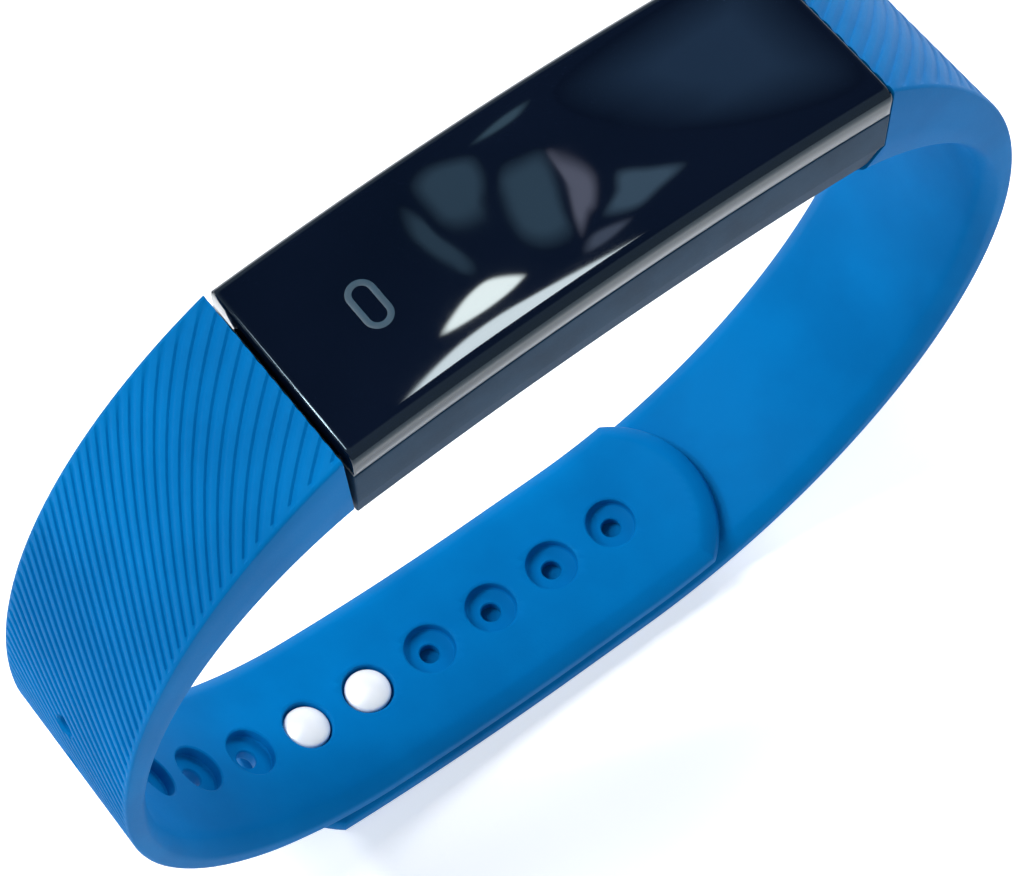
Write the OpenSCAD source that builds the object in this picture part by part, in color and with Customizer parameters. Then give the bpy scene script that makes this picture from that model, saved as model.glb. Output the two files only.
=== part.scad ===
// Fitness tracker band, closed in a loop and standing on its clasp side.
// Millimetres. +Z is up, +X runs along the module, +Y runs along the wrist's axis.
// The origin is on the table, under the middle of the module.

/* [Module] */
// length of the module between the two strap ends
module_len = 45.6; // [40:0.1:52]
// width of the module
module_w = 16.2; // [14:0.1:19]
// thickness of the module from the lens to the wrist side
module_t = 9.4; // [8.4:0.1:12]
// height of the lens middle above the table
loop_h = 65.3; // [58:0.1:74]
// radius of the bow along the module
bow_r = 200; // [150:5:400]
// radius of the rolled long edges of the lens
lens_roll = 1.7; // [1:0.1:2.2]
// height of the glossy band at the side of the lens
lens_band = 2.5; // [2.2:0.1:3]
// thickness of the lens over the display
lens_t = 1.1; // [0.9:0.1:1.5]
// thickness of the seal under the lens
seal_t = 0.2; // [0.1:0.05:0.3]
// wall thickness of the lower case
case_wall = 1.1; // [0.9:0.1:1.6]
// chamfer on the long lower edges of the case
case_chamfer = 1.0; // [0.5:0.1:1.4]
// cut across the lower corners at the ends of the case
case_corner = 2.4; // [1:0.1:2.8]

/* [Tongues] */
// length of each tongue outside the case
tongue_len = 11.8; // [9:0.1:12.5]
// rubber on each side of a tongue
socket_wall = 1.9; // [1.5:0.1:2.6]
// thickness of each tongue
tongue_t = 2.3; // [1.8:0.1:2.6]
// clearance around each tongue in its socket
tongue_fit = 0.06; // [0.02:0.01:0.1]
// length of a charging contact
contact_len = 7.5; // [6:0.1:9]
// width of a charging contact
contact_w = 1.6; // [1:0.1:2]

/* [Straps] */
// step from each side of the module to the side of the straps
strap_step = 0.2; // [0:0.05:0.6]
// thickness of the thin part of both straps
strap_t = 2.3; // [2:0.1:2.8]
// height of the long strap at the module
long_end_t = 8.3; // [7.4:0.1:10]
// height of the short strap at the module
short_end_t = 9.8; // [8.6:0.1:11.5]
// gap between the module and the long strap, at the top of the strap's end
long_gap = 0.6; // [0.3:0.1:1.2]
// the same gap at the lower corner of the strap's end
long_gap_low = 0.15; // [0.1:0.05:0.6]
// gap between the module and the short strap
short_gap = 0.25; // [0.15:0.05:1]
// slope of the long strap where it leaves the module
long_slope = 26; // [15:1:32]
// slope of the short strap where it leaves the module
short_slope = 33.5; // [22:1:38]
// radius of the lower bend on the long strap's side
long_bend_r = 26.2; // [22:0.1:31]
// radius of the lower bend on the short strap's side
short_bend_r = 35; // [28:0.1:38]
// radius of the gentle curve under the clasp
clasp_curve_r = 120; // [80:5:200]
// angle of the gentle curve under the clasp
clasp_curve_deg = 9; // [6:0.5:12]
// width of the chamfer on the inner edges of the straps
inner_chamfer_w = 1.2; // [0.6:0.1:1.6]
// depth of the chamfer on the inner edges of the straps
inner_chamfer_d = 0.9; // [0.5:0.1:1.2]
// chamfer on the outer edges of the straps
outer_chamfer = 0.3; // [0.2:0.05:0.5]
// radius of the strap tips
tip_r = 9.6; // [8.6:0.1:14]
// gap between the two straps where they overlap
strap_gap = 0.1; // [0.05:0.05:0.3]
// gap at each flex line
flex_gap = 0.2; // [0.1:0.05:0.4]

/* [Holes and clasp] */
// number of strap holes
hole_count = 12; // [10:1:12]
// spacing of the strap holes along the strap
hole_pitch = 6.5; // [6:0.1:7]
// diameter of the strap holes
hole_d = 1.7; // [1.5:0.1:2.2]
// clearance around a stud head in its recess
head_fit = 0.25; // [0.1:0.05:0.5]
// depth of the recess around a strap hole
recess_depth = 1.1; // [0.9:0.1:1.3]
// the hole on the right-hand stud, counted from the tip
first_hole_used = 5; // [4:1:6]
// distance along the strap from the right-hand stud to the start of the flat base
stud_offset = 16; // [15.5:0.1:16.5]
// distance from the first hole to the tip of the long strap
long_tip = 9.3; // [8:0.1:11]
// distance from the left-hand stud to the tip of the short strap
short_tip = 5.2; // [4.5:0.1:8]
// number of holes on the long strap's side of its flex line that stay on the tail
tail_holes = 8; // [8:1:9]
// angle of the short strap's flex line up its lower bend
short_flex_deg = 33; // [28:1:45]
// diameter of a stud head
stud_head_d = 3.9; // [3.4:0.1:4.2]
// height of a stud head
stud_head_h = 1.3; // [1:0.1:1.6]
// clearance around a stud stem in its hole
stem_fit = 0.1; // [0.05:0.05:0.2]
// diameter of the flange moulded into the short strap
stud_flange_d = 5; // [4.4:0.1:6]
// thickness of the flange moulded into the short strap
stud_flange_t = 0.6; // [0.4:0.1:0.8]

/* [Inside the module] */
// distance from the left end of the module to the display panel
display_start = 3; // [2.5:0.1:6]
// distance from the display panel to the right end of the module
display_end = 18.6; // [17:0.1:24]
// distance from each side of the module to the display panel
display_side = 2.4; // [2:0.1:3.5]
// thickness of the display panel
display_t = 1.2; // [1:0.1:1.4]
// thickness of the inner frame
frame_t = 0.8; // [0.6:0.1:1]
// thickness of the main board
board_t = 0.8; // [0.6:0.1:1]
// room between the case wall and each end of the main board
board_end = 2.7; // [2:0.1:4]
// room between the case wall and each side of the main board
board_side = 0.9; // [0.5:0.1:1.6]
// width of the ledge under each side of the main board
board_rest = 0.35; // [0.2:0.05:0.8]
// length of the battery
battery_len = 22; // [16:0.5:24]
// room between the case wall and each side of the battery
battery_side = 1.5; // [0.8:0.1:2.5]
// room between the battery and the main board
battery_room = 0.37; // [0.2:0.01:1]
// thickness of the foam pad under the battery
pad_t = 0.3; // [0.2:0.1:0.4]
// diameter of the vibration motor
motor_d = 8; // [6:0.1:9]
// room between the vibration motor and the main board
motor_room = 0.69; // [0.3:0.01:1]

/* [Hidden] */
$fn = 72;
hl = module_len / 2;
strap_w = module_w - 2 * strap_step;
tongue_w = strap_w - 2 * socket_wall;
recess_d = stud_head_d + 2 * head_fit;
stud_stem_d = hole_d - 2 * stem_fit;
bow_z = loop_h - bow_r;
end_top = bow_z + sqrt(bow_r * bow_r - hl * hl);
strap_top = end_top - 0.3;
far = 300;
chip_gap = 0.02;
// long strap: its outer face lies on the short strap under the clasp
// the end's slope and thickness are set here, a little outside the end face
long_x = -hl - long_gap - 0.3;
z0 = strap_t;
drop_z = z0 + clasp_curve_r * (1 - cos(clasp_curve_deg));
bend_cz = drop_z + long_bend_r * cos(clasp_curve_deg);
side_r = (strap_top - bend_cz) / cos(long_slope);
left_x = long_x - side_r * (1 - sin(long_slope));
bend_cx = left_x + long_bend_r;
drop_x = bend_cx - long_bend_r * sin(clasp_curve_deg);
flat_left = drop_x + clasp_curve_r * sin(clasp_curve_deg);
long_in_a = long_x - left_x - strap_t;
long_in_b = strap_top - long_end_t - bend_cz;
long_in_r = (long_in_a * long_in_a + long_in_b * long_in_b) / (2 * long_in_a);
// short strap: its outer face lies on the table
short_x = hl + short_gap;
short_side_r = (strap_top - short_bend_r) / cos(short_slope);
right_x = short_x + short_side_r * (1 - sin(short_slope));
flat_right = right_x - short_bend_r;
short_in_a = right_x - strap_t - short_x;
short_in_b = strap_top - short_end_t - short_bend_r;
short_in_r = (short_in_a * short_in_a + short_in_b * short_in_b) / (2 * short_in_a);
assert(flat_right - flat_left > 4, "the flat base under the clasp is too short");
// holes: distances along the contact face, from the start of the flat base towards the left
stud_a = stud_offset;
stud_b = stud_offset + hole_pitch;
curve_len = clasp_curve_r * clasp_curve_deg * PI / 180;
flat_len = flat_right - flat_left;
contact_r = short_bend_r - strap_t;
flex_s = stud_a + hole_pitch * (tail_holes + 0.5 - first_hole_used);
flex_deg = clasp_curve_deg + (flex_s - curve_len) / long_bend_r * 180 / PI;
tip_s = stud_a - hole_pitch * (first_hole_used - 1) - long_tip;
tip_deg = (-tip_s - flat_len) / contact_r * 180 / PI;
short_tip_deg = (stud_b + short_tip) / clasp_curve_r * 180 / PI;
assert(tip_deg < short_flex_deg - 6, "the long strap's tip must stop before the flex line");
// tongues: each runs down the middle of its strap's thick end
function long_mid(x) = bend_cz + (sqrt(pow(side_r, 2) - pow(x - left_x - side_r, 2))
    + sqrt(pow(long_in_r, 2) - pow(x - left_x - strap_t - long_in_r, 2))) / 2;
function short_mid(x) = short_bend_r + (sqrt(pow(short_side_r, 2) - pow(x - right_x + short_side_r, 2))
    + sqrt(pow(short_in_r, 2) - pow(x - right_x + strap_t + short_in_r, 2))) / 2;
long_run = 0.87 * tongue_len;
short_run = 0.78 * tongue_len;
long_tilt = atan2(long_mid(long_x) - long_mid(long_x - long_run), long_run);
short_tilt = atan2(short_mid(short_x) - short_mid(short_x + short_run), short_run);
// layers in the module, downwards from the lens
lens_under = bow_r - lens_t;
seam_r = bow_r - lens_band;
lens_wall = 1.2;
display_x = -hl + display_start;
display_len = module_len - display_start - display_end;
display_w = module_w - 2 * display_side;
display_top = bow_z + sqrt(lens_under * lens_under - display_x * display_x) - 0.08;
frame_top = display_top - display_t - chip_gap;
board_top = frame_top - frame_t - chip_gap;
board_under = board_top - board_t;
floor_z = loop_h - module_t + case_wall;
board_len = module_len - 2 * case_wall - 2 * board_end;
board_w = module_w - 2 * case_wall - 2 * board_side;
battery_w = module_w - 2 * case_wall - 2 * battery_side;
battery_t = board_under - battery_room - floor_z - pad_t - chip_gap;
motor_h = board_under - motor_room - floor_z;
corner_z = end_top - module_t;

// a revolved body whose axis runs along Y through (x, z)
module about(x, z) {
    translate([x, 0, z])
        rotate([-90, 0, 0])
            children();
}

// a strap section made by revolving: outer radius, inner radius
module strap_ring(x, z, outer, half) {
    c = outer_chamfer;
    about(x, z)
        rotate_extrude($fn = 180)
            polygon([[0, -half], [outer - c, -half], [outer, -half + c],
                [outer, half - c], [outer - c, half], [0, half]]);
}

// the space inside a strap section, wider at the chamfered edges
module strap_bore(x, z, inner, half) {
    w = inner_chamfer_w;
    d = inner_chamfer_d;
    about(x, z)
        rotate_extrude($fn = 180)
            polygon([[0, -half - 1], [inner + d * (1 + 1 / w), -half - 1], [inner, -half + w],
                [inner, half - w], [inner + d * (1 + 1 / w), half + 1], [0, half + 1]]);
}

// a wedge about an axis along Y: from angle a to angle b, measured up from +X
module wedge(x, z, a, b) {
    translate([x, 30, z])
        rotate([90, 0, 0])
            linear_extrude(60)
                polygon([[0, 0], [far * cos(a), far * sin(a)],
                    [far * cos((2 * a + b) / 3) * 1.3, far * sin((2 * a + b) / 3) * 1.3],
                    [far * cos((a + 2 * b) / 3) * 1.3, far * sin((a + 2 * b) / 3) * 1.3],
                    [far * cos(b), far * sin(b)]]);
}

// one curved strap section with parallel faces
module bend(x, z, outer, inner, a, b) {
    intersection() {
        difference() {
            strap_ring(x, z, outer, strap_w / 2);
            strap_bore(x, z, inner, strap_w / 2);
        }
        wedge(x, z, a, b);
    }
}

// one flat strap section from x1 to x2 with its outer face at z
module flat(x1, x2, z) {
    h = strap_w / 2;
    c = outer_chamfer;
    w = inner_chamfer_w;
    d = inner_chamfer_d;
    difference() {
        translate([x1, 0, z])
            rotate([90, 0, 90])
                linear_extrude(x2 - x1 + 5)
                    polygon([[-h + c, 0], [h - c, 0], [h, c], [h, strap_t - d],
                        [h - w, strap_t], [-h + w, strap_t], [-h, strap_t - d], [-h, c]]);
        translate([x2, -20, z - 5])
            cube([20, 40, 20]);
    }
}

// moves its children to distance s along the contact face, with +Z towards the wrist
module on_contact(s) {
    if (s > curve_len) {
        a = clasp_curve_deg + (s - curve_len) / long_bend_r * 180 / PI;
        translate([bend_cx, 0, bend_cz])
            rotate([0, a, 0])
                translate([0, 0, -long_bend_r])
                    children();
    } else if (s > 0) {
        translate([flat_left, 0, z0 + clasp_curve_r])
            rotate([0, s / clasp_curve_r * 180 / PI, 0])
                translate([0, 0, -clasp_curve_r])
                    children();
    } else if (s > -flat_len) {
        translate([flat_left - s, 0, z0])
            children();
    } else {
        translate([flat_right, 0, short_bend_r])
            rotate([0, (s + flat_len) / contact_r * 180 / PI, 0])
                translate([0, 0, -contact_r])
                    children();
    }
}

// one strap hole with its recess
module strap_hole() {
    translate([0, 0, -1])
        cylinder(d = hole_d, h = strap_t + 2, $fn = 48);
    translate([0, 0, strap_t - recess_depth])
        cylinder(d = recess_d, h = 3, $fn = 48);
}

// the holes from number a to number b, counted from the tip
module holes(a, b) {
    for (i = [a:b])
        on_contact(stud_a + hole_pitch * (i - first_hole_used))
            strap_hole();
}

// a plate bowed with the module: outer radius, inner radius, half length and half width
module bowed(outer, inner, hx, hy) {
    intersection() {
        about(0, bow_z)
            difference() {
                cylinder(r = outer, h = 2 * hy, center = true, $fn = 360);
                cylinder(r = inner, h = 2 * hy + 2, center = true, $fn = 360);
            }
        translate([-hx, -hy - 1, bow_z])
            cube([2 * hx, 2 * hy + 2, bow_r + 10]);
    }
}

// ---------- the module ----------

module lens_cover() {
    h = module_w / 2;
    r = lens_roll;
    o = bow_r;
    color([0.02, 0.03, 0.05])
        difference() {
            intersection() {
                about(0, bow_z)
                    rotate_extrude($fn = 360)
                        polygon(concat(
                            [[seam_r, -h], [o - r, -h]],
                            [for (a = [18:18:72]) [o - r + r * sin(a), -h + r - r * cos(a)]],
                            [[o, -h + r], [o, h - r]],
                            [for (a = [72:-18:18]) [o - r + r * sin(a), h - r + r * cos(a)]],
                            [[o - r, h], [seam_r, h]]));
                translate([-hl, -20, bow_z])
                    cube([module_len, 40, bow_r + 10]);
            }
            bowed(lens_under, seam_r - 2, hl - lens_wall, h - lens_wall);
        }
}

module lens_seal() {
    color([0.55, 0.6, 0.65])
        difference() {
            bowed(seam_r, seam_r - seal_t, hl, module_w / 2 - 0.1);
            bowed(seam_r + 1, seam_r - 2, hl - lens_wall, module_w / 2 - lens_wall);
        }
}

module lower_case() {
    h = module_w / 2;
    o = seam_r - seal_t;
    b = bow_r - module_t;
    c = case_chamfer;
    w = case_wall;
    ledge = board_side + board_rest;
    color([0.17, 0.19, 0.2])
        difference() {
            union() {
                difference() {
                    intersection() {
                        about(0, bow_z)
                            rotate_extrude($fn = 360)
                                polygon([[o, -h], [o, h], [b + 3 * c, h], [b + c, h - 0.35 * c],
                                    [b, h - c - 0.35 * c], [b, -h + c + 0.35 * c],
                                    [b + c, -h + 0.35 * c], [b + 3 * c, -h]]);
                        translate([-hl, -20, bow_z])
                            cube([module_len, 40, bow_r + 10]);
                    }
                    // lower corners cut across: a large cut at the short strap, a small one at the long strap
                    for (k = [[-1, 0.5], [1, 1]])
                        translate([k[0] * hl, 0, corner_z])
                            rotate([0, 45, 0])
                                cube([k[1] * case_corner * sqrt(2), 40, k[1] * case_corner * sqrt(2)],
                                    center = true);
                }
                // plain tongue for the short strap
                translate([hl, 0, short_mid(short_x)])
                    rotate([0, short_tilt, 0])
                        translate([-0.5, -tongue_w / 2, -tongue_t / 2])
                            cube([tongue_len + 0.5, tongue_w, tongue_t]);
            }
            // well for the insides
            difference() {
                translate([-hl + w, -h + w, floor_z])
                    cube([module_len - 2 * w, module_w - 2 * w, 20]);
                // ledges that carry the main board
                for (k = [-1, 1])
                    translate([-board_len / 2, k * (h - w) - ledge * (k + 1) / 2, floor_z - 1])
                        cube([board_len, ledge, board_under - chip_gap - floor_z + 1]);
            }
            // slot for the plug tongue
            translate([-hl, 0, long_mid(long_x)])
                rotate([0, -long_tilt, 0])
                    translate([-2, -tongue_w / 2 - 0.02, -tongue_t / 2 - 0.02])
                        cube([w + 4, tongue_w + 0.04, tongue_t + 0.04]);
            // groove that locks the plain tongue in its socket
            translate([hl, 0, short_mid(short_x)])
                rotate([0, short_tilt, 0])
                    translate([tongue_len / 2, -tongue_w / 2 - 1, -tongue_t / 2 - 0.6])
                        cube([1.6, tongue_w + 2, 1]);
        }
}

module display_panel() {
    color([0.05, 0.06, 0.09])
        translate([display_x, -display_w / 2, display_top - display_t])
            cube([display_len, display_w, display_t]);
}

module display_cable() {
    z = board_top + chip_gap;
    d = display_top - 0.7 - z;
    color([0.75, 0.45, 0.12])
        translate([display_x + display_len + 0.05, 3.4, z])
            rotate([90, 0, 0])
                linear_extrude(6.8)
                    polygon([[0, d], [1.6, d], [1.6, 0.12], [3.6, 0.12], [3.6, 0], [1.45, 0],
                        [1.45, d - 0.15], [0, d - 0.15]]);
}

module touch_electrode() {
    z = display_top - 0.4;
    color([0.8, 0.6, 0.25])
        translate([hl - 6.6, 0, z]) {
            cylinder(d = 6, h = 0.3, $fn = 48);
            translate([0, 0, board_top + chip_gap - z])
                cylinder(d = 1.2, h = z - board_top, $fn = 24);
        }
}

module inner_frame() {
    y = module_w / 2 - lens_wall - 0.1;
    color([0.1, 0.1, 0.11])
        difference() {
            translate([-hl + 2.4, -y, frame_top - frame_t])
                cube([module_len - 4.8, 2 * y, frame_t]);
            // window for the display cable
            translate([display_x + display_len - 0.2, -4, frame_top - 2])
                cube([5, 8, 4]);
            // hole for the touch electrode
            translate([hl - 6.6, 0, frame_top - 2])
                cylinder(d = 7, h = 4, $fn = 48);
            // window over the parts on the board
            translate([display_x + 1, -display_w / 2 + 0.5, frame_top - 2])
                cube([display_len - 2, display_w - 1, 4]);
        }
}

module main_board() {
    color([0.05, 0.3, 0.16])
        difference() {
            translate([-board_len / 2, -board_w / 2, board_under])
                cube([board_len, board_w, board_t]);
            for (k = [-1, 1])
                translate([k * (board_len / 2 - 1), board_w / 2 - 1, board_top - 2])
                    cylinder(d = 1.1, h = 4, $fn = 24);
        }
}

function motor_x() = hl - case_wall - motor_d / 2 - 1.6;

module chip(x, y, lx, ly, h) {
    translate([x - lx / 2, y - ly / 2, board_top + chip_gap])
        cube([lx, ly, h]);
}

module bluetooth_chip() {
    color([0.08, 0.08, 0.09])
        chip(-5, 0, 6, 6, 0.75);
}

module memory_chip() {
    color([0.1, 0.1, 0.12])
        chip(-12.6, 1.6, 4, 3, 0.75);
}

module motion_sensor() {
    color([0.2, 0.2, 0.22])
        chip(1.4, 2.4, 2, 2, 0.75);
}

module charging_chip() {
    color([0.1, 0.1, 0.1])
        chip(-16.4, -2.4, 2.9, 1.6, 0.75);
}

module board_crystal() {
    color([0.75, 0.76, 0.78])
        chip(1.2, -2.2, 3.2, 2.5, 0.7);
}

module chip_antenna() {
    color([0.9, 0.88, 0.8])
        chip(-9, -4.3, 3.2, 1.6, 0.75);
}

module battery_cell() {
    z = floor_z + pad_t + chip_gap;
    color([0.75, 0.77, 0.8])
        translate([-hl + case_wall + 1.6, -battery_w / 2, z])
            cube([battery_len, battery_w, battery_t]);
    color([0.9, 0.7, 0.2])
        translate([-hl + case_wall + 1.6 + battery_len, -3, z + 0.6])
            cube([1.6, 6, 1]);
}

module battery_pad() {
    color([0.12, 0.12, 0.12])
        translate([-hl + case_wall + 2.6, -battery_w / 2 + 1, floor_z])
            cube([battery_len - 2, battery_w - 2, pad_t]);
}

module motor_case() {
    color([0.7, 0.7, 0.72])
        translate([motor_x(), 0, floor_z])
            difference() {
                cylinder(d = motor_d, h = motor_h, $fn = 60);
                translate([0, 0, 0.25])
                    cylinder(d = motor_d - 0.5, h = motor_h - 0.5, $fn = 60);
            }
    // shaft in the middle of the motor
    color([0.8, 0.8, 0.8])
        translate([motor_x(), 0, floor_z + 0.2])
            cylinder(d = 0.8, h = motor_h - 0.4, $fn = 30);
}

module motor_rotor() {
    r = motor_d / 2 - 0.55;
    color([0.45, 0.45, 0.47])
        translate([motor_x(), 0, floor_z + 0.55])
            difference() {
                union() {
                    intersection() {
                        cylinder(r = r, h = motor_h - 1.1, $fn = 60);
                        translate([-r - 1, -1.2, -1])
                            cube([2 * r + 2, r + 3, 5]);
                    }
                    cylinder(r = 1.4, h = motor_h - 1.1, $fn = 48);
                }
                translate([0, 0, -1])
                    cylinder(d = 0.9, h = 6, $fn = 30);
            }
}

// places its children on the plug tongue's middle plane, +X pointing into the case
module on_plug() {
    translate([-hl, 0, long_mid(long_x)])
        rotate([0, -long_tilt, 0])
            children();
}

module plug_tongue() {
    w = tongue_w - 0.1;
    t = tongue_t;
    color([0.04, 0.04, 0.045])
        difference() {
            union() {
                on_plug()
                    translate([-tongue_len, -w / 2, -t / 2])
                        cube([tongue_len + case_wall, w, t]);
                // collar inside the case
                translate([-hl + case_wall + chip_gap, -w / 2 - 0.4, long_mid(long_x) - t / 2 - 0.4])
                    cube([0.8, w + 0.8, t + 0.9]);
            }
            on_plug()
                for (i = [0:3])
                    translate([-tongue_len + 0.8, contact_y(i) - contact_w / 2, -t / 2 - 1])
                        cube([contact_len, contact_w, 1.15]);
        }
}

function contact_y(i) = (i - 1.5) * (tongue_w - 2) / 4;

module charging_contacts() {
    color([0.83, 0.65, 0.28])
        on_plug()
            for (i = [0:3])
                translate([-tongue_len + 0.82, contact_y(i) - contact_w / 2 + 0.02,
                    -tongue_t / 2 + 0.02])
                    cube([contact_len - 0.04, contact_w - 0.04, 0.12]);
}

// ---------- the long strap ----------

module long_socket() {
    f = tongue_fit;
    on_plug()
        translate([-tongue_len - 0.4, -tongue_w / 2 - f, -tongue_t / 2 - f])
            cube([tongue_len + 5, tongue_w + 2 * f, tongue_t + 2 * f]);
}

// the long strap's end face leans in towards the module's lower corner
function long_end(z) = -hl - long_gap + (strap_top - z) * (long_gap - long_gap_low) / long_end_t;

module long_strap_upper() {
    color([0, 0.36, 0.66])
        difference() {
            union() {
                bend(bend_cx, bend_cz, long_bend_r, long_bend_r - strap_t, 180, 270 - flex_deg);
                intersection() {
                    difference() {
                        strap_ring(left_x + side_r, bend_cz, side_r, strap_w / 2);
                        strap_bore(left_x + strap_t + long_in_r, bend_cz, long_in_r, strap_w / 2);
                    }
                    rotate([90, 0, 0])
                        translate([0, 0, -20])
                            linear_extrude(40)
                                polygon([
                                    [left_x - 5, bend_cz],
                                    [long_end(bend_cz), bend_cz],
                                    [long_end(strap_top + 4), strap_top + 4],
                                    [left_x - 5, strap_top + 4]
                                ]);
                }
            }
            long_socket();
            holes(tail_holes + 1, hole_count);
            // clearance at the flex line
            translate([bend_cx, 0, bend_cz])
                rotate([0, flex_deg, 0])
                    translate([-flex_gap / 2, -20, -long_bend_r - 2])
                        cube([flex_gap, 40, 10]);
        }
}

module long_strap_tail() {
    color([0, 0.36, 0.66])
        difference() {
            intersection() {
                union() {
                    difference() {
                        bend(bend_cx, bend_cz, long_bend_r, long_bend_r - strap_t,
                            270 - flex_deg, 275 - clasp_curve_deg);
                        right_of_drop();
                    }
                    intersection() {
                        bend(flat_left, z0 + clasp_curve_r, clasp_curve_r, clasp_curve_r - strap_t,
                            265 - clasp_curve_deg, 270);
                        right_of_drop();
                    }
                    flat(flat_left, flat_right, z0);
                    bend(flat_right, short_bend_r, contact_r, contact_r - strap_t, 270, 272 + max(tip_deg, 0));
                }
                on_contact(tip_s)
                    tip_clip();
            }
            holes(1, tail_holes);
            // clearance under the tail, so that it lies just clear of the short strap
            difference() {
                lower_slab();
                translate([bend_cx, 0, bend_cz])
                    rotate([0, flex_deg, 0])
                        translate([-60, -30, -60])
                            cube([60 + flex_gap / 2, 60, 60]);
            }
            translate([bend_cx, 0, bend_cz])
                rotate([0, flex_deg, 0])
                    translate([-flex_gap / 2, -20, -long_bend_r - 2])
                        cube([flex_gap, 40, 10]);
        }
}

// everything right of the plane where the gentle curve under the clasp ends
module right_of_drop() {
    translate([flat_left, 0, z0 + clasp_curve_r])
        rotate([0, clasp_curve_deg, 0])
            translate([0, -30, -180])
                cube([120, 60, 180]);
}

// the region that the long strap's tip keeps: everything left of a round end
module tip_clip() {
    translate([-tip_r, 0, -30])
        cylinder(r = tip_r, h = 60, $fn = 120);
    translate([-tip_r - 90, -20, -40])
        cube([90 + sqrt(tip_r * tip_r - strap_w * strap_w / 4), 40, 120]);
}

// a thin layer taken off the underside of the long strap where it lies on the short one
module lower_slab() {
    g = strap_gap;
    difference() {
        translate([drop_x - 20, -20, -5])
            cube([80, 40, 30]);
        about(flat_left, z0 + clasp_curve_r)
            intersection() {
                cylinder(r = clasp_curve_r - g, h = 50, center = true, $fn = 360);
                translate([-60, -20, -25])
                    cube([60, 200, 50]);
            }
        translate([flat_left, -25, z0 + g])
            cube([flat_len, 50, 60]);
        about(flat_right, short_bend_r)
            cylinder(r = contact_r - g, h = 50, center = true, $fn = 180);
    }
}

// ---------- the short strap ----------

module short_strap_upper() {
    color([0, 0.36, 0.66])
        difference() {
            union() {
                bend(flat_right, short_bend_r, short_bend_r, short_bend_r - strap_t,
                    270 + short_flex_deg, 360);
                intersection() {
                    difference() {
                        strap_ring(right_x - short_side_r, short_bend_r, short_side_r, strap_w / 2);
                        strap_bore(right_x - strap_t - short_in_r, short_bend_r, short_in_r, strap_w / 2);
                    }
                    translate([hl - case_corner - 2, -20, short_bend_r])
                        cube([80, 40, 60]);
                }
            }
            // room for the module, with a lip left under its cut corner
            translate([0, 20, 0])
                rotate([90, 0, 0])
                    linear_extrude(40)
                        polygon([[0, corner_z + case_corner - short_x], [short_x, corner_z + case_corner],
                            [short_x, loop_h + 5], [0, loop_h + 5]]);
            // socket for the plain tongue
            translate([hl, 0, short_mid(short_x)])
                rotate([0, short_tilt, 0])
                    translate([-2, -tongue_w / 2 - tongue_fit, -tongue_t / 2 - tongue_fit])
                        cube([tongue_len + 2.4, tongue_w + 2 * tongue_fit, tongue_t + 2 * tongue_fit]);
            translate([flat_right, 0, short_bend_r])
                rotate([0, -short_flex_deg, 0])
                    translate([-flex_gap / 2, -20, -short_bend_r - 2])
                        cube([flex_gap, 40, 10]);
        }
}

module short_strap_tail() {
    color([0, 0.36, 0.66])
        difference() {
            intersection() {
                union() {
                    bend(flat_left, z0 + clasp_curve_r, clasp_curve_r + strap_t, clasp_curve_r,
                        270 - short_tip_deg - 1, 270);
                    flat(flat_left, flat_right, 0);
                    bend(flat_right, short_bend_r, short_bend_r, contact_r, 270, 270 + short_flex_deg);
                }
                translate([flat_left, 0, z0 + clasp_curve_r])
                    rotate([0, short_tip_deg, 0])
                        translate([0, 0, -clasp_curve_r])
                            rotate([0, 0, 180])
                                tip_clip();
            }
            clasp_seats();
            translate([flat_right, 0, short_bend_r])
                rotate([0, -short_flex_deg, 0])
                    translate([-flex_gap / 2, -20, -short_bend_r - 2])
                        cube([flex_gap, 40, 10]);
        }
}

// the studs stand square to the long strap, each in its own hole
module clasp_seats() {
    for (s = [stud_a, stud_b])
        on_contact(s) {
            translate([0, 0, -strap_t / 2 - stud_flange_t / 2])
                cylinder(d = stud_flange_d, h = stud_flange_t, $fn = 60);
            translate([0, 0, -strap_t / 2])
                cylinder(d = stud_stem_d, h = strap_t, $fn = 48);
        }
}

module clasp_studs() {
    r = stud_head_d / 2;
    h = stud_head_h;
    base = strap_t - recess_depth + 0.15;
    edge = 0.45 * h;
    dome = (r * r + pow(h - edge, 2)) / (2 * (h - edge));
    color([0.86, 0.87, 0.88])
        for (s = [stud_a, stud_b])
            on_contact(s) {
                translate([0, 0, -strap_t / 2 - stud_flange_t / 2])
                    cylinder(d = stud_flange_d, h = stud_flange_t, $fn = 60);
                translate([0, 0, -strap_t / 2])
                    cylinder(d = stud_stem_d, h = strap_t / 2 + base + 0.2, $fn = 48);
                translate([0, 0, base])
                    intersection() {
                        cylinder(r = r, h = h, $fn = 60);
                        translate([0, 0, h - dome])
                            sphere(r = dome, $fn = 90);
                    }
            }
}

lens_cover();
lens_seal();
display_panel();
display_cable();
touch_electrode();
inner_frame();
main_board();
bluetooth_chip();
memory_chip();
motion_sensor();
charging_chip();
board_crystal();
chip_antenna();
battery_cell();
battery_pad();
motor_case();
motor_rotor();
plug_tongue();
charging_contacts();
lower_case();
long_strap_upper();
long_strap_tail();
short_strap_upper();
short_strap_tail();
clasp_studs();
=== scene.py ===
import contextlib
import math
import bpy
import bmesh
import numpy as np
from mathutils import Matrix, Vector


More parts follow.
